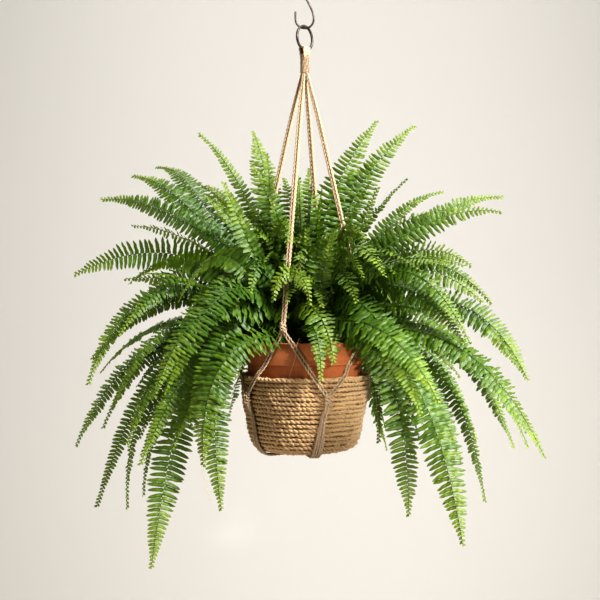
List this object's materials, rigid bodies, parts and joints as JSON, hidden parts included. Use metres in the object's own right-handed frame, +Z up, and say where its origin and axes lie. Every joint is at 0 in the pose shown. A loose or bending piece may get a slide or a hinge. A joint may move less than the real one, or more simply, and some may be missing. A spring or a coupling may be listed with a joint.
{
  "type": "hanging boston fern in a basket",
  "caption": "Boston fern with arching fronds in a terracotta pot, held in a coiled jute basket by a knotted cord hanger on an iron ring and S-hook.",
  "frame": {"origin": "top inside of the S-hook's upper curl, where it rests on the ceiling hook; the pot's axis runs straight down from it", "axes": "+Z up, -Y the front as seen in the picture, +X to the viewer's right"},
  "size_m": [0.7813, 0.603, 1.0541],
  "materials": {
    "dark_iron": "dark, lightly blackened wire",
    "jute_cord": "twisted natural jute cord, matte and fuzzy",
    "basket_jute": "coiled two-ply jute rope, matte and fuzzy",
    "terracotta": "unglazed fired clay, matte",
    "potting_soil": "loose dark peat with fibres",
    "fern_crown": "brown scaly tuft of stalk bases",
    "frond_leaf": "satin green leaflets on a pale green stalk"
  },
  "bodies": {
    "root": {"s_hook": "dark_iron", "hanger_ring": "dark_iron", "neck_loops": "jute_cord", "neck_wrap": "jute_cord", "hanger_strand_front": "jute_cord", "hanger_strand_right": "jute_cord", "hanger_strand_back": "jute_cord", "hanger_strand_left": "jute_cord", "net_leg_front_left": "jute_cord", "net_leg_front_right": "jute_cord", "net_leg_right_left": "jute_cord", "net_leg_right_right": "jute_cord", "net_leg_back_left": "jute_cord", "net_leg_back_right": "jute_cord", "net_leg_left_left": "jute_cord", "net_leg_left_right": "jute_cord", "basket_strand_front": "jute_cord", "basket_strand_right": "jute_cord", "basket_strand_back": "jute_cord", "basket_strand_left": "jute_cord", "base_knot": "jute_cord", "terracotta_pot": "terracotta", "jute_basket": "basket_jute", "potting_soil": "potting_soil", "fern_crown": "fern_crown", "fern_frond_01": "frond_leaf", "fern_frond_02": "frond_leaf", "fern_frond_03": "frond_leaf", "fern_frond_04": "frond_leaf", "fern_frond_05": "frond_leaf", "fern_frond_06": "frond_leaf", "fern_frond_07": "frond_leaf", "fern_frond_08": "frond_leaf", "fern_frond_09": "frond_leaf", "fern_frond_10": "frond_leaf", "fern_frond_11": "frond_leaf", "fern_frond_12": "frond_leaf", "fern_frond_13": "frond_leaf", "fern_frond_14": "frond_leaf", "fern_frond_15": "frond_leaf", "fern_frond_16": "frond_leaf", "fern_frond_17": "frond_leaf", "fern_frond_18": "frond_leaf", "fern_frond_19": "frond_leaf", "fern_frond_20": "frond_leaf", "fern_frond_21": "frond_leaf", "fern_frond_22": "frond_leaf", "fern_frond_23": "frond_leaf", "fern_frond_24": "frond_leaf", "fern_frond_25": "frond_leaf", "fern_frond_26": "frond_leaf", "fern_frond_27": "frond_leaf", "fern_frond_28": "frond_leaf", "fern_frond_29": "frond_leaf", "fern_frond_30": "frond_leaf", "fern_frond_31": "frond_leaf", "fern_frond_32": "frond_leaf", "fern_frond_33": "frond_leaf", "fern_frond_34": "frond_leaf", "fern_frond_35": "frond_leaf"}
  },
  "joints": []
}
